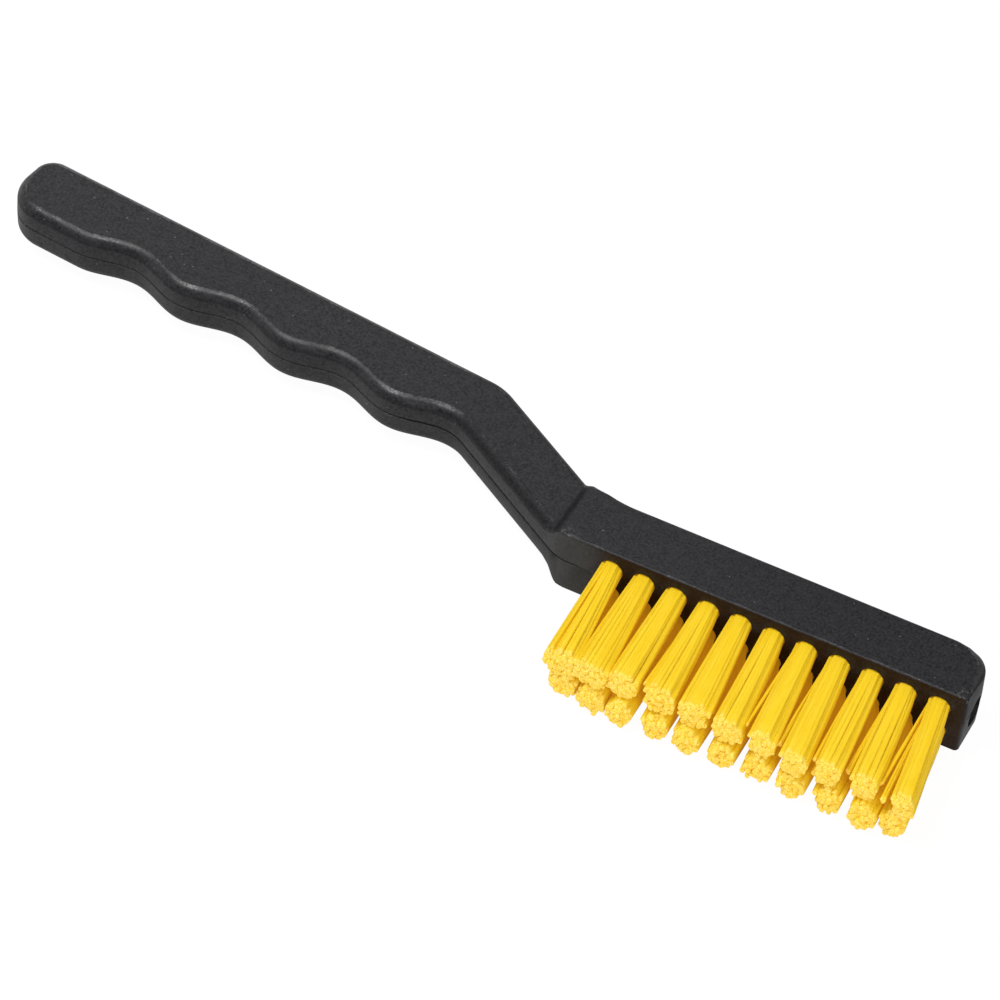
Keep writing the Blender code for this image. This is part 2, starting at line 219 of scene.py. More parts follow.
def handle_outline():
    """The outline at the parting plane, counter-clockwise from the front corner of the grip's end."""
    neck_run, neck_in = unit(math.pi - NECK_ANGLE), unit(-math.pi / 2 - NECK_ANGLE)
    grip_run, grip_in = unit(math.pi - GRIP_ANGLE), unit(-math.pi / 2 - GRIP_ANGLE)
    back_heel = Vector((NECK_START, HEAD_DEPTH))
    elbow = back_heel + neck_run * NECK_LENGTH
    neck_front = back_heel + neck_in * NECK_WIDTH

    def crossing(point, run):
        return point + run * ((neck_front - point).cross(neck_run) / run.cross(neck_run))

    def on_grip(along, depth):
        return elbow + grip_run * along + grip_in * depth

    front_heel = crossing(Vector((0.0, 0.0)), Vector((1.0, 0.0)))
    hollow = on_grip(FIRST_GROOVE, GRIP_WIDTH - GROOVE_DEPTH)
    front_elbow = crossing(hollow, grip_run)
    front_elbow_radius = (hollow - front_elbow).length / math.tan((NECK_ANGLE - GRIP_ANGLE) / 2)
    # From the last crest, at the end of the grip, to the bottom of the first groove
    waves = GROOVE_COUNT - 0.5
    steps = round(waves * STEPS_PER_GROOVE)
    wave = []
    for i in range(steps):
        turns = waves * (1.0 - i / steps)
        dip = (1.0 + math.cos(2.0 * math.pi * turns)) / 2
        along = FIRST_GROOVE + turns * GROOVE_PITCH
        wave.append(on_grip(along, GRIP_WIDTH - GROOVE_DEPTH * dip))
    end_back, end_front = on_grip(GRIP_LENGTH, 0.0), on_grip(GRIP_LENGTH, GRIP_WIDTH)
    tip_front, tip_back = Vector((HEAD_LENGTH, 0.0)), Vector((HEAD_LENGTH, HEAD_DEPTH))
    fine = ARC_STEP_ANGLE
    points = rounded_corner(end_back, end_front, wave[0], END_FRONT_RADIUS, fine)
    points += wave
    for before, corner, after, radius, step_angle in (
        (wave[-1], front_elbow, front_heel, front_elbow_radius, fine),
        (front_elbow, front_heel, tip_front, HEEL_FRONT_RADIUS, fine),
        (front_heel, tip_front, tip_back, TIP_FRONT_RADIUS, TIP_FRONT_STEP_ANGLE),
        (tip_front, tip_back, back_heel, TIP_BACK_RADIUS, fine),
        (tip_back, back_heel, elbow, HEEL_BACK_RADIUS, fine),
        (back_heel, elbow, end_back, ELBOW_RADIUS, fine),
        (elbow, end_back, end_front, END_BACK_RADIUS, fine),
    ):
        points += rounded_corner(before, corner, after, radius, step_angle)
    return denser(points)


def longest_step(x):
    """How long a stretch of the outline may be: finest where the head begins."""
    if HEEL_FINE_START < x < HEEL_FINE_END:
        return HEEL_STEP
    return TIP_STEP if x > HEAD_LENGTH - TIP_FINE_LENGTH else LONG_STEP


def denser(points):
    """The same closed outline, with its long stretches divided."""
    finer = []
    for i, point in enumerate(points):
        after = points[(i + 1) % len(points)]
        finer.append(point)
        count = math.ceil((after - point).length / longest_step(((point + after) / 2).x))
        for j in range(1, count):
            finer.append(point.lerp(after, j / count))
    return finer


def inward_normals(points):
    """At each point the way inwards, as long as it takes to move both sides in by one."""
    normals = []
    for i, point in enumerate(points):
        before = (point - points[i - 1]).normalized()
        after = (points[(i + 1) % len(points)] - point).normalized()
        mean = Vector((-before.y - after.y, before.x + after.x)).normalized()
        normals.append(mean / mean.dot(Vector((-before.y, before.x))))
    return normals


def handle_levels():
    """The rings of the handle from bottom to top: the side, the angle round the edge,
    the height if it is a ring of the seam, and its share of the seam's depth."""
    angles = [CREST_ANGLE * i / EDGE_STEPS for i in range(EDGE_STEPS + 1)]
    floor = SEAM_HALF_WIDTH * SEAM_FLOOR_SHARE
    levels = [(-1.0, angle, None, 0.0) for angle in reversed(angles)]
    levels += [(-1.0, 0.0, -SEAM_HALF_WIDTH, 0.0), (-1.0, 0.0, -floor, 1.0)]
    levels += [(1.0, 0.0, floor, 1.0), (1.0, 0.0, SEAM_HALF_WIDTH, 0.0)]
    levels += [(1.0, angle, None, 0.0) for angle in angles]
    return levels


def make_mesh(name, mesh):
    data = bpy.data.meshes.new(name)
    mesh.to_mesh(data)
    mesh.free()
    return data


def link(name, data):
    obj = bpy.data.objects.new(name, data)
    bpy.context.scene.collection.objects.link(obj)
    return obj


def handle_shell():
    """The whole handle without its holes: rings joined from bottom to top, closed by two caps."""
    outline = handle_outline()
    normals = inward_normals(outline)
    mesh = bmesh.new()
    half = GRIP_THICKNESS / 2
    rings = []
    for side, angle, seam_z, seam_share in handle_levels():
        ring = []
        for point, normal in zip(outline, normals):
            radius = edge_radius(point, side)
            if seam_z is None:
                z = side * (half - radius * math.sin(CREST_ANGLE) + radius * math.sin(angle))
                lift = face_height(point.x, side) - half
            else:
                z, lift = seam_z, 0.0
            inset = (abs(z) + lift) * math.tan(DRAFT_ANGLE) + radius * (1.0 - math.cos(angle))
            inset += seam_share * seam_depth(point)
            place = point + normal * inset
            ring.append(mesh.verts.new((place.x, place.y, z)))
        rings.append(ring)
    count = len(outline)
    for lower, upper in zip(rings, rings[1:]):
        for i in range(count):
            j = (i + 1) % count
            mesh.faces.new((lower[i], lower[j], upper[j], upper[i]))
    cap = mesh.faces.layers.int.new("cap")
    mesh.faces.new(list(reversed(rings[0])))[cap] = 1
    mesh.faces.new(rings[-1])[cap] = 1
    # The mesh is cut across at the ramp, and then the head's faces are moved out to their height
    span = RAMP_LENGTH + 2 * RAMP_LEAD
    stations = [-RAMP_LEAD + span * i / RAMP_STEPS for i in range(RAMP_STEPS + 1)]
    for x in [-RAMP_MARGIN] + stations + [RAMP_LENGTH + RAMP_MARGIN]:
        geometry = mesh.verts[:] + mesh.edges[:] + mesh.faces[:]
        bmesh.ops.bisect_plane(mesh, geom=geometry, plane_co=(x, 0.0, 0.0), plane_no=(1.0, 0.0, 0.0))
    seam_top = SEAM_HALF_WIDTH * SEAM_MARGIN_SHARE
    for vert in mesh.verts:
        if abs(vert.co.z) > seam_top:
            vert.co.z += math.copysign(face_height(vert.co.x, vert.co.z) - half, vert.co.z)
    bmesh.ops.recalc_face_normals(mesh, faces=mesh.faces[:])
    for vert in mesh.verts:
        vert.co += ORIGIN
    return link("handle_moulding", make_mesh("handle_moulding", mesh))


def tuft_places():
    """Each tuft's row, its number from nought, and the middle of its hole as x and z."""
    for row, side in (("upper", 1.0), ("lower", -1.0)):
        for i in range(TUFTS_PER_ROW):
            yield row, i, FIRST_TUFT + i * TUFT_PITCH, side * ROW_SPACING / 2 - ROW_DROP


def add_round(mesh, centre, axis, radius, low, high, sides):
    """A cylinder along an axis of the frame, between two positions on it."""
    others = [a for a in range(3) if a != axis]
    ends = []
    for along in (low, high):
        ring = []
        for i in range(sides):
            angle = 2.0 * math.pi * (i + 0.5) / sides
            place = [0.0, 0.0, 0.0]
            place[axis] = along
            place[others[0]] = centre[0] + radius * math.cos(angle)
            place[others[1]] = centre[1] + radius * math.sin(angle)
            ring.append(mesh.verts.new(Vector(place) + ORIGIN))
        ends.append(ring)
    for i in range(sides):
        j = (i + 1) % sides
        mesh.faces.new((ends[0][i], ends[0][j], ends[1][j], ends[1][i]))
    mesh.faces.new(list(reversed(ends[0])))
    mesh.faces.new(ends[1])


def cut_handle(handle):
    """Takes the tuft holes and the recess in the end face out of the handle."""
    mesh = bmesh.new()
    for _row, _number, x, z in tuft_places():
        add_round(mesh, (x, z), 1, HOLE_DIAMETER / 2, -OVERRUN, HOLE_DEPTH, HOLE_SIDES)
    recess_floor = HEAD_LENGTH - RECESS_DEPTH
    centre = (HEAD_DEPTH / 2, -RECESS_DROP)
    add_round(mesh, centre, 0, RECESS_DIAMETER / 2, recess_floor, HEAD_LENGTH + OVERRUN, RECESS_SIDES)
    bmesh.ops.recalc_face_normals(mesh, faces=mesh.faces[:])
    cutter = link("cutter", make_mesh("cutter", mesh))
    modifier = handle.modifiers.new("cuts", "BOOLEAN")
    modifier.operation = "DIFFERENCE"
    modifier.solver = "EXACT"
    modifier.object = cutter
    graph = bpy.context.evaluated_depsgraph_get()
    graph.update()
    cut = bpy.data.meshes.new_from_object(handle.evaluated_get(graph))
    handle.modifiers.clear()
    handle.data = cut
    bpy.data.objects.remove(cutter, do_unlink=True)


# What the handle's vertex layers follow: pairs are where a rise starts and how long it runs,
# for a place as lengths, and for a way that a face looks as parts of its unit normal
HANDLED_LOSS = 0.75
HANDLED_RUN = 8.0 * MM
POLISH_TURN = (0.35, 0.35)
RAMP_TURN = 0.3
RAMP_SHADE_POWER = 0.7
BELOW_EDGE_TURN = (0.02, 0.48)
BELOW_EDGE_SHARE = 0.55
NECK_SHADE_TURN = (0.2, 0.3)
NECK_SHADE_SHARE = 0.9
FRONT_TURN = (0.6, 0.3)
BRISTLE_BOUNCE_RISE = (6.5 * MM, 4.0 * MM)
HEEL_REFLECTION_RISE = (-2.0 * MM, 3.0 * MM)
HEEL_REFLECTION_FALL = (5.5 * MM, 4.0 * MM)


def mark_rims(mesh, cap):
    """Insets a narrow band in both flat faces, and returns the vertices of their borders."""
    for side in (1.0, -1.0):
        flat = [f for f in mesh.faces if f[cap] and f.normal.z * side > 0]
        made = bmesh.ops.inset_region(
            mesh, faces=flat, thickness=RIM_WIDTH, depth=0.0, use_even_offset=True)
        for face in made["faces"]:
            face[cap] = 1
    rim = set()
    for face in mesh.faces:
        face.smooth = True
    for edge in mesh.edges:
        if len(edge.link_faces) != 2:
            continue
        first, second = edge.link_faces
        edge.smooth = edge.calc_face_angle() < HANDLE_CREASE_ANGLE
        if first[cap] != second[cap]:
            edge.smooth = False
            rim.update(edge.verts)
    return rim


def finish_handle(handle):
    """Marks the crisp edges, and writes the layers that the plastic's material reads: the rims,
    which it paints paler as abraded plastic and as a painted highlight, polish on the upper edge,
    painted shade on the ramp and below the upper edge, a painted reflection on the heel's front,
    and a painted bounce of the bristles' light on the front face."""
    mesh = bmesh.new()
    mesh.from_mesh(handle.data)
    layers = mesh.verts.layers.float
    rim_mark, polish = layers.new("rim_wear_and_highlight"), layers.new("edge_polish")
    painted_shade = layers.new("painted_shade")
    bristle_bounce, heel_reflection = layers.new("bristle_bounce"), layers.new("heel_reflection")
    cap = mesh.faces.layers.int["cap"]
    rim = mark_rims(mesh, cap)
    for vert in mesh.verts:
        on_wall = any(f[cap] == 0 for f in vert.link_faces)
        x = vert.co.x - ORIGIN.x
        up = vert.normal.z
        handled = 1.0 - HANDLED_LOSS * rise(x, -NECK_LENGTH, HANDLED_RUN)
        on_ramp = arch(ramp_share(x)) ** RAMP_SHADE_POWER if up > RAMP_TURN else 0.0
        below_edge, neck_shade = 0.0, 0.0
        if on_wall:
            below_edge = arch((up - BELOW_EDGE_TURN[0]) / BELOW_EDGE_TURN[1])
            if x < 0:
                neck_shade = NECK_SHADE_SHARE * (1.0 - handled) * rise(up, *NECK_SHADE_TURN)
        to_front = rise(-vert.normal.y, *FRONT_TURN)
        # The rims' mark, which the material paints paler: partly abraded plastic, partly a painted
        # highlight
        vert[rim_mark] = 1.0 if vert in rim else 0.0
        vert[polish] = rise(up, *POLISH_TURN) * handled if on_wall else 0.0
        # Painted shade: the ramp, the band just below the upper edge and the neck's upper edge are
        # painted darker and less shiny
        vert[painted_shade] = max(on_ramp, BELOW_EDGE_SHARE * below_edge, neck_shade)
        # Painted bounce light: where the front face by the tufts is painted warm brown
        vert[bristle_bounce] = to_front * rise(x, *BRISTLE_BOUNCE_RISE)
        # Painted reflection: where the heel's front is painted a lighter warm grey
        vert[heel_reflection] = to_front * rise(x, *HEEL_REFLECTION_RISE) * (1.0 - rise(x, *HEEL_REFLECTION_FALL))
    mesh.to_mesh(handle.data)
    mesh.free()


# ---- materials


class Nodes:
    """A node tree, with short calls for the nodes that this script uses. An input is given
    as an output of another node, a number, or three numbers for a colour or a vector."""

    def __init__(self, tree):
        self.tree = tree
        self.shader = tree.nodes.get("Principled BSDF")

    def add(self, kind, **values):
        node = self.tree.nodes.new(kind)
        for key, value in values.items():
            setattr(node, key, value)
        return node

    def fill(self, socket, value):
        if isinstance(value, bpy.types.NodeSocket):
            self.tree.links.new(value, socket)
        elif socket.type == "RGBA":
            socket.default_value = (*value, 1.0)
        else:
            socket.default_value = value

    def put(self, name, value):
        """Fills an input of the shader itself."""
        self.fill(self.shader.inputs[name], value)

    def coordinates(self):
        return self.add("ShaderNodeTexCoord").outputs["Object"]

    def stretched(self, where, scale, turn=0.0):
        node = self.add("ShaderNodeMapping")
        node.inputs["Scale"].default_value = scale
        node.inputs["Rotation"].default_value = (0.0, 0.0, turn)
        self.fill(node.inputs["Vector"], where)
        return node.outputs["Vector"]

    def attribute(self, name, output="Fac"):
        return self.add("ShaderNodeAttribute", attribute_name=name).outputs[output]

    def noise(self, where, scale, detail, roughness):
        node = self.add("ShaderNodeTexNoise")
        for name, value in (("Scale", scale), ("Detail", detail), ("Roughness", roughness)):
            node.inputs[name].default_value = value
        self.fill(node.inputs["Vector"], where)
        return node.outputs["Fac"]

    def ramp(self, source, limits, results=(0.0, 1.0)):
        """Maps a value from one range to another, held within it."""
        node = self.add("ShaderNodeMapRange")
        names = ("From Min", "From Max", "To Min", "To Max")
        for name, value in zip(names, (*limits, *results)):
            node.inputs[name].default_value = value
        self.fill(node.inputs["Value"], source)
        return node.outputs["Result"]

    def math(self, operation, first, second=0.0):
        node = self.add("ShaderNodeMath", operation=operation)
        for socket, value in zip(node.inputs, (first, second)):
            self.fill(socket, value)
        return node.outputs[0]

    def times(self, first, second):
        return self.math("MULTIPLY", first, second)

    def vectors(self, operation, *values):
        node = self.add("ShaderNodeVectorMath", operation=operation)
        for socket, value in zip(node.inputs, values):
            self.fill(socket, value)
        return node

    def mix(self, share, first, second, kind="RGBA"):
        """A colour or a vector between two others."""
        node = self.add("ShaderNodeMix", data_type=kind)
        self.fill(node.inputs["Factor"], share)
        for name, value in (("A", first), ("B", second)):
            socket = [s for s in node.inputs if s.name == name and s.type == kind][0]
            self.fill(socket, value)
        return [s for s in node.outputs if s.type == kind][0]

    def over(self, under, colour, share, *shares):
        """A colour laid over another, by the product of the shares."""
        for other in shares:
            share = self.times(share, other)
        return self.mix(share, under, colour)

    def mix_shaders(self, share, first, second):
        node = self.add("ShaderNodeMixShader")
        for socket, value in zip(node.inputs, (share, first, second)):
            self.fill(socket, value)
        return node.outputs["Shader"]

    def bump(self, height, strength, distance, under=None):
        node = self.add("ShaderNodeBump")
        node.inputs["Strength"].default_value = strength
        node.inputs["Distance"].default_value = distance
        self.fill(node.inputs["Height"], height)
        if under is not None:
            self.fill(node.inputs["Normal"], under)
        return node.outputs["Normal"]

    def near(self, where, place, limits):
        """One near a place of the design frame, down to nothing, between two distances."""
        away = self.vectors("DISTANCE", where, ORIGIN + Vector(place))
        return self.ramp(away.outputs["Value"], limits, (1.0, 0.0))


def new_material(name):
    material = bpy.data.materials.new(name)
    material.use_nodes = True
    return material, Nodes(material.node_tree)


# A noise is given by its scale per metre, its detail and its roughness. A range says where
# it begins to count and where it counts in full, and a share how much of a colour then shows
# over what lies below it.
PEBBLE_NOISE, PEBBLE_RANGE = (2300.0, 2.0, 0.6), (0.33, 0.67)
PEBBLE_DARK, PEBBLE_PALE = (0.0025, 0.0024, 0.0032), (0.0205, 0.0203, 0.0225)
CLOUD_NOISE, CLOUD_RANGE, CLOUD_SHARE = (70.0, 1.0, 0.5), (0.35, 0.65), 0.25
CLOUD_COLOUR = (0.0080, 0.0080, 0.0090)
MOTTLE_NOISE, MOTTLE_RANGE, MOTTLE_SHARE = (620.0, 2.0, 0.6), (0.42, 0.66), 0.45
MOTTLE_COLOUR = (0.0215, 0.0213, 0.0235)
GRAIN_NOISE = (5200.0, 1.0, 0.5)
SPECK_SCALE, SPECK_CHOICE, SPECK_SHARE = 700.0, (0.45, 0.47), 0.7
SPECK_SIZES = (0.030, 0.095)
SPECK_COLOUR = (0.15, 0.15, 0.16)
SCRATCH_NOISE = (210.0, 1.0, 0.5)
SCRATCH_STRETCH, SCRATCH_TURN = (1.0, 7.0, 4.0), math.radians(38.0)
SCRATCH_LEVEL, SCRATCH_WIDTHS, SCRATCH_SHARE = 0.5, (0.001, 0.004), 0.25
SCRATCHED_NOISE, SCRATCHED_RANGE = (95.0, 1.0, 0.5), (0.62, 0.68)
SCRATCH_COLOUR = (0.08, 0.08, 0.085)
PATCHY_NOISE, PATCHY_RANGE = (230.0, 3.0, 0.6), (0.46, 0.56)
CRUMB_NOISE, CRUMB_RANGE = (2600.0, 2.0, 0.7), (0.42, 0.56)
# Paler rims: partly abraded plastic, partly a painted highlight along the edges
RIM_WEAR_AND_HIGHLIGHT_COLOUR, RIM_WEAR_AND_HIGHLIGHT_SHARE = (0.12, 0.12, 0.125), 0.7
FLAKE_NOISE = (1500.0, 3.0, 0.75)
TIP_SCUFF = (HEAD_LENGTH - 0.9 * MM, 0.6 * MM, HEAD_ABOVE)
TIP_SCUFF_REACH = (0.7 * MM, 2.4 * MM)
TIP_FLAKE_RANGE, TIP_FLAKE_COLOUR = (0.56, 0.62), (0.090, 0.090, 0.086)
TIP_PIT_RANGE, TIP_PIT_COLOUR = (0.46, 0.40), (0.002, 0.002, 0.002)
HEEL_SCUFF = (RAMP_LENGTH + 1.4 * MM, 0.2 * MM, HEAD_ABOVE)
HEEL_SCUFF_REACH = (0.4 * MM, 2.6 * MM)
HEEL_FLAKE_RANGE, HEEL_FLAKE_SHARE = (0.50, 0.60), 0.8
HEEL_FLAKE_COLOUR = (0.075, 0.075, 0.080)
# Painted shade on the ramp, below the upper edge and along the neck's upper edge
PAINTED_SHADE_COLOUR, PAINTED_SHADE_SHARE = (0.003, 0.003, 0.0035), 0.6
# Painted reflection: the heel's front painted a lighter warm grey
HEEL_REFLECTION_COLOUR, HEEL_REFLECTION_SHARE = (0.030, 0.0285, 0.0260), 0.65
# Painted bounce light: the front face by the tufts painted warm brown and less shiny, for the yellow
# light of the bristles
BOUNCE_COLOUR, BOUNCE_SHARE = (0.024, 0.0115, 0.0035), 0.65
MATT_ROUGHNESS, POLISHED_ROUGHNESS, LEAST_POLISH = 0.52, 0.18, 0.40
PLASTIC_SHINE, PAINTED_SHADE_SHINE, BOUNCE_SHINE = (0.22, 0.28), 0.25, 0.40
PEBBLE_HEIGHT, GRAIN_HEIGHT, BUMP_STRENGTH = 0.018 * MM, 0.008 * MM, 0.5
SCUFF_HEIGHT, SCUFF_STRENGTH = 0.30 * MM, 0.8


def plastic_material():
    """Matt charcoal moulding: a fine grain, a few pale specks and scratches, and edges rubbed
    shinier. Its rims are paler, partly abraded and partly a painted highlight; the ramp and the
    band below the upper edge carry painted shade, the heel's front a painted reflection and the
    front face a painted bounce of the bristles' yellow light."""
    material, m = new_material("charcoal_plastic")
    where = m.coordinates()
    pebble = m.noise(where, *PEBBLE_NOISE)
    colour = m.mix(m.ramp(pebble, PEBBLE_RANGE), PEBBLE_DARK, PEBBLE_PALE)
    cloud = m.ramp(m.noise(where, *CLOUD_NOISE), CLOUD_RANGE, (0.0, CLOUD_SHARE))
    colour = m.over(colour, CLOUD_COLOUR, cloud)
    mottle = m.ramp(m.noise(where, *MOTTLE_NOISE), MOTTLE_RANGE, (0.0, MOTTLE_SHARE))
    colour = m.over(colour, MOTTLE_COLOUR, mottle)

    cells = m.add("ShaderNodeTexVoronoi")
    cells.inputs["Scale"].default_value = SPECK_SCALE
    m.fill(cells.inputs["Vector"], where)
    chosen = m.add("ShaderNodeSeparateColor")
    m.fill(chosen.inputs["Color"], cells.outputs["Color"])
    size = m.ramp(chosen.outputs["Green"], (0.0, 1.0), SPECK_SIZES)
    speck = m.math("LESS_THAN", cells.outputs["Distance"], size)
    speck = m.times(speck, m.ramp(chosen.outputs["Red"], SPECK_CHOICE))
    colour = m.over(colour, SPECK_COLOUR, speck, SPECK_SHARE)

    hairs = m.noise(m.stretched(where, SCRATCH_STRETCH, SCRATCH_TURN), *SCRATCH_NOISE)
    thin = m.math("ABSOLUTE", m.math("SUBTRACT", hairs, SCRATCH_LEVEL))
    scratch = m.ramp(thin, SCRATCH_WIDTHS, (1.0, 0.0))
    scratched = m.ramp(m.noise(where, *SCRATCHED_NOISE), SCRATCHED_RANGE)
    colour = m.over(colour, SCRATCH_COLOUR, scratch, scratched, SCRATCH_SHARE)

    patchy = m.ramp(m.noise(where, *PATCHY_NOISE), PATCHY_RANGE)
    crumbs = m.ramp(m.noise(where, *CRUMB_NOISE), CRUMB_RANGE)
    crumbly = m.times(patchy, crumbs)
    # Painted highlight: the rims are painted paler, partly as abraded plastic and partly for the
    # light along the edges
    colour = m.over(colour, RIM_WEAR_AND_HIGHLIGHT_COLOUR, m.attribute("rim_wear_and_highlight"), crumbly, RIM_WEAR_AND_HIGHLIGHT_SHARE)

    flakes = m.noise(where, *FLAKE_NOISE)
    at_heel = m.near(where, HEEL_SCUFF, HEEL_SCUFF_REACH)
    heel_flakes = m.ramp(flakes, HEEL_FLAKE_RANGE, (0.0, HEEL_FLAKE_SHARE))
    colour = m.over(colour, HEEL_FLAKE_COLOUR, at_heel, heel_flakes)
    at_tip = m.near(where, TIP_SCUFF, TIP_SCUFF_REACH)
    colour = m.over(colour, TIP_FLAKE_COLOUR, at_tip, m.ramp(flakes, TIP_FLAKE_RANGE))
    colour = m.over(colour, TIP_PIT_COLOUR, at_tip, m.ramp(flakes, TIP_PIT_RANGE))

    painted_shade, painted_bounce = m.attribute("painted_shade"), m.attribute("bristle_bounce")
    # Painted shade: darker colour, and less shine further down, on the ramp and below the upper edge
    colour = m.over(colour, PAINTED_SHADE_COLOUR, painted_shade, PAINTED_SHADE_SHARE)
    # Painted reflection on the heel's front
    colour = m.over(colour, HEEL_REFLECTION_COLOUR, m.attribute("heel_reflection"), HEEL_REFLECTION_SHARE)
    # Painted bounce light from the bristles on the front face
    colour = m.over(colour, BOUNCE_COLOUR, painted_bounce, BOUNCE_SHARE)
    m.put("Base Color", colour)

    rubbed = m.times(m.attribute("edge_polish"), m.ramp(crumbly, (0.0, 1.0), (LEAST_POLISH, 1.0)))
    m.put("Roughness", m.ramp(rubbed, (0.0, 1.0), (MATT_ROUGHNESS, POLISHED_ROUGHNESS)))
    shine = m.ramp(pebble, PEBBLE_RANGE, PLASTIC_SHINE)
    shine = m.times(shine, m.ramp(painted_shade, (0.0, 1.0), (1.0, PAINTED_SHADE_SHINE)))
    shine = m.times(shine, m.ramp(painted_bounce, (0.0, 1.0), (1.0, BOUNCE_SHINE)))
    m.put("Specular IOR Level", shine)
    coarse = m.bump(pebble, BUMP_STRENGTH, PEBBLE_HEIGHT)
    fine = m.bump(m.noise(where, *GRAIN_NOISE), BUMP_STRENGTH, GRAIN_HEIGHT, coarse)
    m.put("Normal", m.bump(m.times(at_tip, flakes), SCUFF_STRENGTH, SCUFF_HEIGHT, fine))
    return material


FILAMENT_DARK, FILAMENT_PALE = (0.62, 0.438, 0.002), (0.65, 0.482, 0.006)
STREAK_NOISE, STREAK_STRETCH = (1800.0, 2.0, 0.5), (1.0, 0.12, 1.0)
STREAK_RANGE, STREAK_SHARE = (0.35, 0.70), 0.35
STREAK_COLOUR = (0.70, 0.545, 0.034)
CUT_END, CUT_END_SHARE, CUT_END_COLOUR = (0.96, 1.0), 0.7, (0.75, 0.565, 0.050)
CUT_FACE, CUT_CRUMB_COLOUR = (0.97, 1.0), (0.82, 0.68, 0.16)
CUT_CRUMB_NOISE, CUT_CRUMB_RANGE = (3000.0, 2.0, 0.6), (0.42, 0.60)
GLOW_COLOUR, GLOW_STRENGTH = (1.0, 0.40, 0.015), 0.18
SOFT_FACING, SOFT_FACING_SHARES = (-0.5, 0.5), (0.10, 1.0)
SOFT_ALONG, SOFT_ALONG_SHARES = (0.90, 1.0), (0.70, 0.50)
FILAMENT_ROUGHNESS, FILAMENT_SHINE = (0.58, 0.68), 0.22


def filament_material():
    """Bright yellow filament: each strand has its own tint, and the cut ends are paler. A faint
    glow, and normals that lean to the bundle's, stand in for light scattered between strands."""
    material, m = new_material("yellow_filament")
    where = m.coordinates()
    along = m.attribute("strand_along")
    colour = m.mix(m.attribute("strand_tint"), FILAMENT_DARK, FILAMENT_PALE)
    streaks = m.noise(m.stretched(where, STREAK_STRETCH), *STREAK_NOISE)
    colour = m.over(colour, STREAK_COLOUR, m.ramp(streaks, STREAK_RANGE, (0.0, STREAK_SHARE)))
    colour = m.over(colour, CUT_END_COLOUR, m.ramp(along, CUT_END, (0.0, CUT_END_SHARE)))
    crumbs = m.ramp(m.noise(where, *CUT_CRUMB_NOISE), CUT_CRUMB_RANGE)
    colour = m.over(colour, CUT_CRUMB_COLOUR, m.ramp(along, CUT_FACE), crumbs)
    m.put("Base Color", colour)
    m.put("Emission Color", GLOW_COLOUR)
    m.put("Emission Strength", GLOW_STRENGTH)
    surface = m.add("ShaderNodeNewGeometry").outputs["Normal"]
    bundle = m.attribute("tuft_normal", "Vector")
    facing = m.vectors("DOT_PRODUCT", surface, bundle).outputs["Value"]
    share = m.ramp(facing, SOFT_FACING, SOFT_FACING_SHARES)
    share = m.times(share, m.ramp(along, SOFT_ALONG, SOFT_ALONG_SHARES))
    soft = m.mix(share, surface, bundle, "VECTOR")
    m.put("Normal", m.vectors("NORMALIZE", soft).outputs["Vector"])
    m.put("Roughness", m.ramp(along, CUT_END, FILAMENT_ROUGHNESS))
    m.put("Specular IOR Level", FILAMENT_SHINE)
    return material


WIRE_STRETCH, WIRE_NOISE = (0.08, 1.0, 1.0), (5200.0, 2.0, 0.5)
WIRE_DARK, WIRE_PALE = (0.52, 0.50, 0.46), (0.74, 0.72, 0.67)
WIRE_RANGE, WIRE_ROUGHNESS = (0.3, 0.7), (0.25, 0.45)


def anchor_material():
    """Drawn flat wire, with its fine lines along the strip."""
    material, m = new_material("drawn_wire")
    lines = m.noise(m.stretched(m.coordinates(), WIRE_STRETCH), *WIRE_NOISE)
    m.put("Base Color", m.mix(lines, WIRE_DARK, WIRE_PALE))
    m.put("Roughness", m.ramp(lines, WIRE_RANGE, WIRE_ROUGHNESS))
    m.put("Metallic", 1.0)
    return material


# ---- bristles
FILAMENT_RADIUS = 0.265 * MM
FILAMENT_SPACING = 0.350 * MM
FILAMENT_SIDES = 8
FILAMENT_STEPS = 8
FILAMENT_END_SCALE = 1.52
FILAMENT_CREASE_ANGLE = math.radians(62.0)
STRAY_SCALE = 0.65
STRAY_TAPER = 3.0
SECTION_TURN = 6.0
WALL_CLEAR = 0.03 * MM
PACKED_RADIUS = HOLE_DIAMETER / 2 - WALL_CLEAR
ROOT_REACH = PACKED_RADIUS - FILAMENT_RADIUS
ROOT_WOBBLE = 0.02 * MM
TIP_HALF_HEIGHT = 2.55 * MM

# The fold: how far the strands keep from the anchor and the floor of the hole, and its bend
FOLD_SQUEEZE = 0.93
ANCHOR_CLEAR = 0.5 * MM
FOLD_LEAD = 0.5 * MM
FOLD_LEAST_DEPTH = 0.3 * MM
FOLD_FLOOR_ROOM = 0.7 * MM
FLOOR_CLEAR = 0.05 * MM
BEND_DEPTH_SHARE, BEND_SIDE_SHARE = 0.75, 0.7

# The bundle's own normals: how round they are, and how they turn to the front at the cut ends
ROUND_SHARE = 0.55
FRONT_START = 0.97
FRONT_RUN = 0.03
FRONT_PULL = 3

# How much the ends drift together and scatter, how much shorter the outer ones are,
# and how unevenly strands spread, sway and are cut. The seed fixes the noise of the drift,
# which would differ from run to run, and was chosen for moving the tufts' middles least.
DRIFT_SEED = 150
DRIFT_SCALE, DRIFT_SEED_STEP, LOWER_SEED = 0.9, 7.3, 50
DRIFT_ALONG, DRIFT_LENGTH, DRIFT_UP = 0.35 * MM, 0.40 * MM, 0.30 * MM
TIP_SCATTER = 0.09 * MM
CROWN = 0.30 * MM
LATE_SCATTER = (-0.05, 0.10)
STRAY_SCATTER, STRAY_LATE_SCATTER = 0.16, 0.1
SWAY = 0.04 * MM
SLANT = 0.12

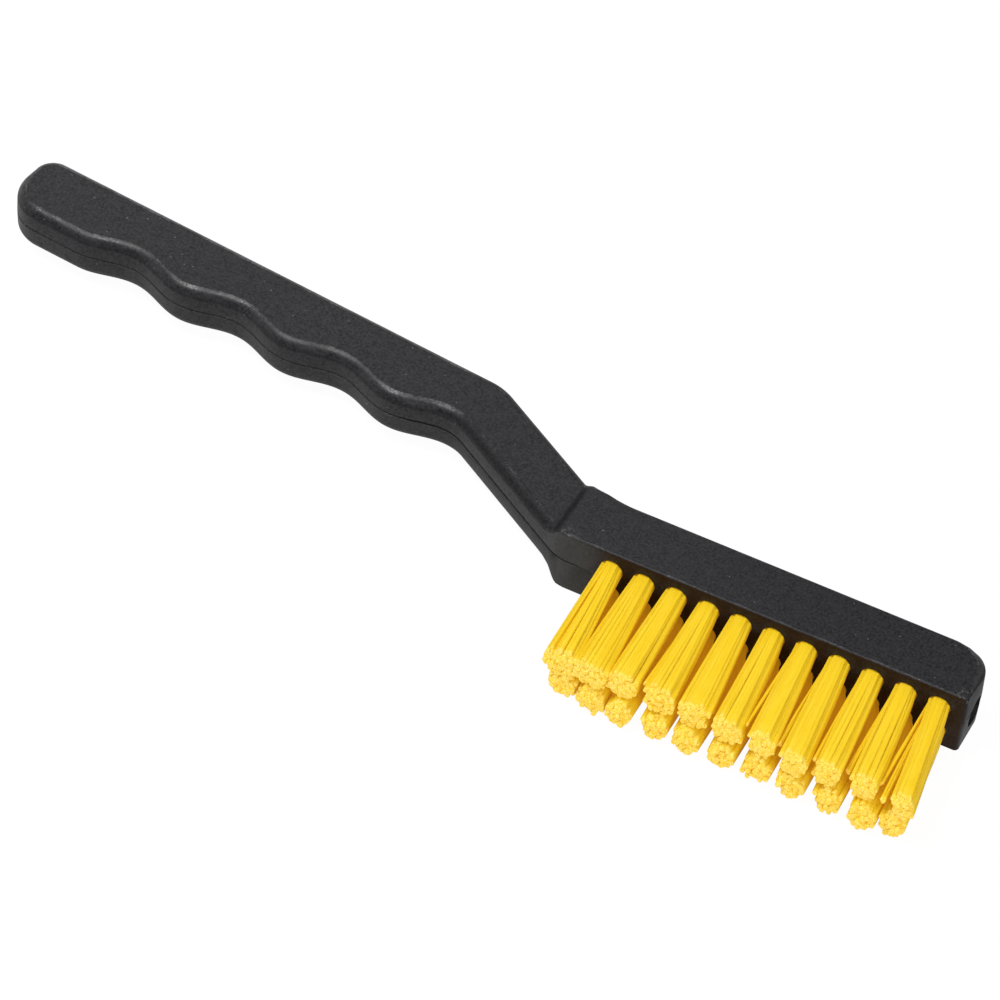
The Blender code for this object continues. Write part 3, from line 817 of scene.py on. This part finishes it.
# Row by row, in mm: how far each tuft's tip leans towards the head's tip, its length, and
# half its width at the tip
LEAN = {
    "upper": (1.75, 1.25, 0.85, 1.30, 1.65, 1.85, 1.95, 2.05, 1.60, 2.05, 3.00),
    "lower": (2.20, 1.80, 1.10, 1.60, 1.30, 1.70, 1.85, 2.10, 2.60, 2.75, 2.00),
}
LENGTH = {
    "upper": (20.4, 20.5, 20.0, 19.9, 20.0, 20.3, 20.1, 21.1, 20.3, 20.0, 20.6),
    "lower": (20.0, 20.7, 21.0, 20.7, 20.9, 20.7, 20.4, 20.7, 20.6, 20.9, 20.1),
}
TIP_HALF_WIDTH = {
    "upper": (2.90, 2.95, 2.55, 2.65, 2.60, 2.50, 2.30, 2.30, 2.20, 2.15, 1.95),
    "lower": (2.30, 2.30, 2.05, 2.00, 2.15, 2.20, 2.15, 2.20, 2.05, 2.15, 2.05),
}
# How soon the strands of a row spread, as a power of the way along, how much they swell and
# how soon, how ragged the ends are in mm, and how much more each tuft bows to the tip's side
SPREAD_POWER = {"upper": 0.90, "lower": 0.75}
SWELL = {"upper": 0.04, "lower": 0.32}
SWELL_POWER = {"upper": 1.0, "lower": 0.6}
RAGGED = {"upper": 0.16, "lower": 0.24}
BOW_STEP = {"upper": 0.0, "lower": 0.06 * MM}
# Strands that splay from a tuft: its row and number, the side they leave from in degrees, how
# many, where their ends come to from the middle of the tuft's hole (x, length and height in
# mm), and how late they leave
STRAYS = (
    ("upper", 7, 180, 4, (-1.45, 17.8, 0.4), 1.3),
    ("upper", 8, 185, 4, (-1.05, 18.8, 0.3), 1.5),
    ("upper", 9, 180, 4, (-0.75, 18.9, 0.4), 1.7),
    ("upper", 10, 180, 3, (-1.05, 18.4, 0.1), 1.5),
    ("upper", 11, 180, 2, (-1.05, 18.1, 0.1), 1.1),
    ("upper", 11, 200, 5, (0.10, 20.3, -0.3), 1.0),
    ("upper", 2, -15, 2, (3.30, 20.0, -1.9), 1.0),
    ("upper", 1, -10, 4, (3.60, 19.0, 0.0), 1.0),
    ("upper", 4, 180, 3, (-1.50, 18.0, 0.5), 1.5),
    ("upper", 5, 0, 4, (3.70, 17.8, 0.0), 1.0),
    ("upper", 1, 120, 2, (0.30, 20.2, 1.9), 1.2),
)


def bundle_roots(draw):
    """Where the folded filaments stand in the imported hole: each place stands for two strands,
    at the same distance above and below the anchor."""
    row_height = FILAMENT_SPACING * math.sqrt(3.0) / 2
    reach = int(ROOT_REACH / FILAMENT_SPACING) + 1
    roots = []
    row = 0
    while (row + 0.5) * row_height < ROOT_REACH:
        w = (row + 0.5) * row_height
        shift = FILAMENT_SPACING / 2 * (row % 2)
        for column in range(-reach, reach + 1):
            u = column * FILAMENT_SPACING + shift
            if math.hypot(u, w) <= ROOT_REACH:
                across = u + draw.uniform(-ROOT_WOBBLE, ROOT_WOBBLE)
                roots.append((across, w + draw.uniform(0.0, ROOT_WOBBLE)))
        row += 1
    return roots


def fold_points(u, w):
    """The hidden stretch of a folded filament: down one side of the anchor, round it and up
    the other."""
    u = u * FOLD_SQUEEZE
    wall = (HOLE_DIAMETER / 2 - FILAMENT_RADIUS) ** 2 - u * u
    limit = math.sqrt(max(wall, ANCHOR_CLEAR * ANCHOR_CLEAR))
    share = min(w / ROOT_REACH, 1.0)
    nearest = ANCHOR_CLEAR + FILAMENT_RADIUS
    side = nearest + max(limit - nearest, 0.0) * share
    deep = ANCHOR_FAR + FOLD_LEAST_DEPTH + FILAMENT_RADIUS
    deep += share * (HOLE_DEPTH - ANCHOR_FAR - FOLD_FLOOR_ROOM)
    deep = min(deep, HOLE_DEPTH - FLOOR_CLEAR - FILAMENT_RADIUS)
    bend = ANCHOR_FAR + (deep - ANCHOR_FAR) * BEND_DEPTH_SHARE
    half = [(ANCHOR_NEAR - FOLD_LEAD, side), (ANCHOR_FAR, side), (bend, side * BEND_SIDE_SHARE)]
    down = [(u, depth, height) for depth, height in half]
    rising = [(u, depth, -height) for depth, height in reversed(half)]
    return down + [(u, deep, 0.0)] + rising


def free_points(u, w, tip, late, sway, swell, early):
    """The stretch outside the hole, from the mouth to the tip."""
    points = []
    for i in range(FILAMENT_STEPS + 1):
        s = i / FILAMENT_STEPS
        blend = s ** late
        bulge = math.sin(math.pi * s ** early)
        x = u + (tip[0] - u) * blend + (sway[0] + u * swell) * bulge
        z = w + (tip[2] - w) * blend + sway[1] * bulge
        points.append((x, -tip[1] * s, z))
    return points


def tip_place(draw, row, number, u, w):
    """Where a strand of the tuft ends, by its place in the hole."""
    across = (TIP_HALF_WIDTH[row][number] * MM - FILAMENT_RADIUS) / ROOT_REACH
    upright = (TIP_HALF_HEIGHT - FILAMENT_RADIUS) / ROOT_REACH
    seed = number + (LOWER_SEED if row == "lower" else 0)
    where = Vector((u / MM * DRIFT_SCALE, w / MM * DRIFT_SCALE, seed * DRIFT_SEED_STEP))
    drift = noise.noise_vector(where)
    length = LENGTH[row][number] * MM + draw.gauss(0.0, RAGGED[row]) * MM
    length += drift.z * DRIFT_LENGTH - CROWN * (math.hypot(u, w) / ROOT_REACH) ** 2
    x = u * across + LEAN[row][number] * MM + drift.x * DRIFT_ALONG + draw.gauss(0.0, TIP_SCATTER)
    z = w * upright + drift.y * DRIFT_UP + draw.gauss(0.0, TIP_SCATTER)
    return (x, length, z)


class TuftMesh:
    """The strands of one tuft in one mesh, with the values that their material reads."""

    def __init__(self, centre):
        self.centre = centre
        self.verts, self.faces = [], []
        self.tints, self.alongs, self.normals = [], [], []

    def add_strand(self, points, alongs, tint, scales, slants, lean):
        """A tube through the points that thickens to its ends, each end cut a little aslant.
        The scales and slants are those of its first and its last end."""
        first = len(self.verts)
        last = len(points) - 1
        for index, ((x, y, z), along) in enumerate(zip(points, alongs)):
            half = 0 if index * 2 < last else 1
            radius = FILAMENT_RADIUS * (1.0 + (FILAMENT_END_SCALE - 1.0) * along)
            radius *= 1.0 + (scales[half] - 1.0) * min(along * STRAY_TAPER, 1.0)
            slant = slants[half] if index in (0, last) else (0.0, 0.0)
            for i in range(FILAMENT_SIDES):
                angle = 2.0 * math.pi * i / FILAMENT_SIDES + tint * SECTION_TURN
                across, up = radius * math.cos(angle), radius * math.sin(angle)
                place = (x + across, y + slant[0] * across + slant[1] * up, z + up)
                self.verts.append(Vector(place) + self.centre)
                self.tints.append(tint)
                self.alongs.append(along)
                outward = Vector((across, 0.0, up))
                if scales[half] == 1.0:
                    to_front = FRONT_PULL * max(along - FRONT_START, 0.0) / FRONT_RUN
                    from_middle = (x + across - lean * along) * ROUND_SHARE
                    outward = Vector((from_middle, -PACKED_RADIUS * to_front, z + up))
                self.normals.append(outward.normalized())
        for ring in range(last):
            a = first + ring * FILAMENT_SIDES
            b = a + FILAMENT_SIDES
            for i in range(FILAMENT_SIDES):
                j = (i + 1) % FILAMENT_SIDES
                self.faces.append((a + i, a + j, b + j, b + i))
        end = first + last * FILAMENT_SIDES
        self.faces.append(tuple(first + i for i in reversed(range(FILAMENT_SIDES))))
        self.faces.append(tuple(end + i for i in range(FILAMENT_SIDES)))

    def make_object(self, name, material):
        mesh = bpy.data.meshes.new(name)
        mesh.from_pydata([tuple(v) for v in self.verts], [], self.faces)
        for attribute, values in (("strand_tint", self.tints), ("strand_along", self.alongs)):
            layer = mesh.attributes.new(attribute, "FLOAT", "POINT")
            layer.data.foreach_set("value", values)
        layer = mesh.attributes.new("tuft_normal", "FLOAT_VECTOR", "POINT")
        layer.data.foreach_set("vector", [value for normal in self.normals for value in normal])
        mesh.shade_smooth()
        mesh.set_sharp_from_angle(angle=FILAMENT_CREASE_ANGLE)
        mesh.materials.append(material)
        return link(name, mesh)


def strand_ends(draw, row, number, roots):
    """Where each strand ends and how late it leaves the bundle, by root and side, and which
    strands are strays."""
    ends = {}
    for index, (u, w) in enumerate(roots):
        for side in (1.0, -1.0):
            late = SPREAD_POWER[row] + draw.uniform(*LATE_SCATTER)
            ends[index, side] = (tip_place(draw, row, number, u, w * side), late)
    strays = set()
    for stray_row, stray_number, bearing, count, end, late in STRAYS:
        if (stray_row, stray_number - 1) != (row, number):
            continue
        aim = unit(math.radians(bearing)) * PACKED_RADIUS

        def distance(key):
            u, w = roots[key[0]]
            return (Vector((u, w * key[1])) - aim).length

        for key in [k for k in sorted(ends, key=distance) if k not in strays][:count]:
            jitter = [draw.gauss(0.0, STRAY_SCATTER) for _ in range(3)]
            place = tuple((value + off) * MM for value, off in zip(end, jitter))
            ends[key] = (place, late + draw.uniform(-STRAY_LATE_SCATTER, STRAY_LATE_SCATTER))
            strays.add(key)
    return ends, strays


def make_tuft(row, number, x, z, material):
    """One tuft with all its folded filaments, in place of the plain one among the solids."""
    draw = random.Random(f"{row}{number}")
    roots = bundle_roots(draw)
    ends, strays = strand_ends(draw, row, number, roots)
    inner = number + 1 < TUFTS_PER_ROW
    swell = SWELL[row] if inner else 0.0
    bow = BOW_STEP[row] * number if inner else 0.0
    outwards = [i / FILAMENT_STEPS for i in range(FILAMENT_STEPS + 1)]
    bundle = TuftMesh(ORIGIN + Vector((x, 0.0, z)))
    for index, (u, w) in enumerate(roots):
        tint = draw.random()
        legs = []
        for side in (1.0, -1.0):
            end, late = ends[index, side]
            sway = (bow + draw.gauss(0.0, SWAY), draw.gauss(0.0, SWAY))
            legs.append(free_points(u, w * side, end, late, sway, swell, SWELL_POWER[row]))
        fold = fold_points(u, w)
        points = list(reversed(legs[0])) + fold + legs[1]
        alongs = list(reversed(outwards)) + [0.0] * len(fold) + outwards
        scales = [STRAY_SCALE if (index, side) in strays else 1.0 for side in (1.0, -1.0)]
        slants = [(draw.gauss(0.0, SLANT), draw.gauss(0.0, SLANT)) for _ in range(2)]
        bundle.add_strand(points, alongs, tint, scales, slants, LEAN[row][number] * MM)
    tuft = bundle.make_object(f"bristles_{row}_{number + 1:02d}", material)
    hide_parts(f"tuft_{row}_{number + 1:02d}")
    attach(tuft, "root")


# ---- the brush
plastic = plastic_material()
handle = handle_shell()
cut_handle(handle)
finish_handle(handle)
handle.data.materials.clear()
handle.data.materials.append(plastic)
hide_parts("handle")
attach(handle, "root")

yellow = filament_material()
noise.seed_set(DRIFT_SEED)
for row, number, x, z in tuft_places():
    make_tuft(row, number, x, z, yellow)

wire = anchor_material()
for name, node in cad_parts.items():
    if name.startswith("anchor_"):
        for slot in node.material_slots:
            slot.material = wire

# ---- camera, floor, world and lamps
SENSOR_WIDTH = 36.0
LENS = 154.8
CLIP = (0.02, 20.0)
CAMERA_PLACE = (168.95, -411.39, 460.81)
CAMERA_RIGHT = (0.88791, 0.45529, 0.06576)
CAMERA_UP = (-0.3664, 0.61352, 0.69953)
CAMERA_BACK = (0.27815, -0.64521, 0.71157)

WHITE = (1.0, 1.0, 1.0)
SHEET_COLOUR, SHEET_GLOW = (0.86, 0.86, 0.86), 1.02
SHEET_GLOW_SHARE, SHEET_CAMERA_SHARE = 0.45, 0.49
SHEET_HALF, SHEET_DROP = 3.0, 0.02 * MM
ROOM_LEVEL = 0.50

# Cards and lamps, in metres: name, place, what they look at, width and height, and for the
# lamps their power in watts
CARD_TONE = (0.02, 0.02, 0.02)
CARDS = (
    ("front_card", (-0.29, -0.58, 0.20), (0.0, 0.0, 0.0), 0.70, 0.40),
    ("back_card", (0.06, 0.72, 0.80), (0.0, 0.0, 0.0), 0.72, 0.60),
    ("tip_card", (0.069, 0.036, 0.071), (0.09, -0.015, 0.011), 0.08, 0.075),
    # Painted shadow: a dark card on the floor beyond the tip, seen only in reflections, stands in for
    # the floor's shade there
    ("end_shadow_card", (0.125, 0.0, 0.0015), (0.125, 0.0, 1.0), 0.066, 0.12),
)
LAMPS = (
    ("key_box", (-0.30, -0.11, 0.73), (-0.05, 0.0, 0.0), 0.40, 0.27, 4.6),
    ("front_box", (0.52, -0.56, 0.48), (0.0, 0.0, 0.0), 0.40, 0.30, 2.9),
)


def put_camera():
    """The camera that was fitted to the photograph, given in the design frame."""
    data = bpy.data.cameras.new("camera")
    data.sensor_width = SENSOR_WIDTH
    data.lens = LENS
    data.clip_start, data.clip_end = CLIP
    camera = link("camera", data)
    matrix = Matrix((CAMERA_RIGHT, CAMERA_UP, CAMERA_BACK)).transposed().to_4x4()
    matrix.translation = ORIGIN + Vector(CAMERA_PLACE) * MM
    camera.matrix_world = matrix
    bpy.context.scene.camera = camera


def seen_directly(m):
    """One for the camera and for what metal and glass show, and nothing for the light on matt
    surfaces."""
    path = m.add("ShaderNodeLightPath")
    total = path.outputs["Is Camera Ray"]
    for name in ("Is Glossy Ray", "Is Transmission Ray"):
        total = m.math("MAXIMUM", total, path.outputs[name])
    return total


def floor_material():
    """White sheet: it takes the brush's soft shadow, and it isn't in the way from below."""
    material, m = new_material("white_sheet")
    m.tree.nodes.remove(m.shader)
    diffuse = m.add("ShaderNodeBsdfDiffuse")
    m.fill(diffuse.inputs["Color"], SHEET_COLOUR)
    glow = m.add("ShaderNodeEmission")
    m.fill(glow.inputs["Color"], WHITE)
    m.fill(glow.inputs["Strength"], SHEET_GLOW)
    camera_ray = m.add("ShaderNodeLightPath").outputs["Is Camera Ray"]
    seen = m.times(seen_directly(m), SHEET_GLOW_SHARE)
    seen = m.math("ADD", seen, m.times(camera_ray, SHEET_CAMERA_SHARE))
    lit = m.mix_shaders(seen, diffuse.outputs["BSDF"], glow.outputs["Emission"])
    clear = m.add("ShaderNodeBsdfTransparent").outputs["BSDF"]
    from_below = m.add("ShaderNodeNewGeometry").outputs["Backfacing"]
    whole = m.mix_shaders(from_below, lit, clear)
    m.fill(m.tree.nodes["Material Output"].inputs["Surface"], whole)
    return material


def sheet(name, half_width, half_height, place, material):
    """A flat face, with its corners put in place by a function."""
    mesh = bmesh.new()
    signs = ((-1, -1), (1, -1), (1, 1), (-1, 1))
    mesh.faces.new([mesh.verts.new(place(a * half_width, b * half_height)) for a, b in signs])
    flat = link(name, make_mesh(name, mesh))
    flat.data.materials.append(material)
    return flat


def put_floor():
    sheet("floor", SHEET_HALF, SHEET_HALF, lambda x, y: (x, y, -SHEET_DROP), floor_material())


def put_world():
    """A pale even room, and plain white to whatever sees it directly."""
    world = bpy.data.worlds.new("studio")
    bpy.context.scene.world = world
    world.use_nodes = True
    m = Nodes(world.node_tree)
    room = m.tree.nodes["Background"]
    m.fill(room.inputs["Color"], WHITE)
    m.fill(room.inputs["Strength"], ROOM_LEVEL)
    white = m.add("ShaderNodeBackground")
    m.fill(white.inputs["Color"], WHITE)
    backgrounds = (room.outputs["Background"], white.outputs["Background"])
    shown = m.mix_shaders(seen_directly(m), *backgrounds)
    m.fill(m.tree.nodes["World Output"].inputs["Surface"], shown)


def facing(place, target):
    """The turn of a card or lamp at a place that looks at a target."""
    return (Vector(target) - Vector(place)).to_track_quat("-Z", "Y")


def put_card(name, place, target, width, height):
    """A card that only shows as a reflection in the brush."""
    material, m = new_material(name)
    m.put("Base Color", CARD_TONE)
    m.put("Roughness", 1.0)
    turn = facing(place, target)

    def corner(x, y):
        return turn @ Vector((x, y, 0.0)) + Vector(place)

    card = sheet(name, width / 2, height / 2, corner, material)
    card.visible_camera = False
    card.visible_diffuse = False
    card.visible_shadow = False


def put_lamp(name, place, target, width, height, power):
    data = bpy.data.lights.new(name, "AREA")
    data.shape = "RECTANGLE"
    data.size = width
    data.size_y = height
    data.energy = power
    lamp = link(name, data)
    lamp.location = Vector(place)
    lamp.rotation_mode = "QUATERNION"
    lamp.rotation_quaternion = facing(place, target)


bpy.context.scene.view_settings.view_transform = "Standard"
put_camera()
put_floor()
put_world()
for card in CARDS:
    put_card(*card)
for lamp in LAMPS:
    put_lamp(*lamp)
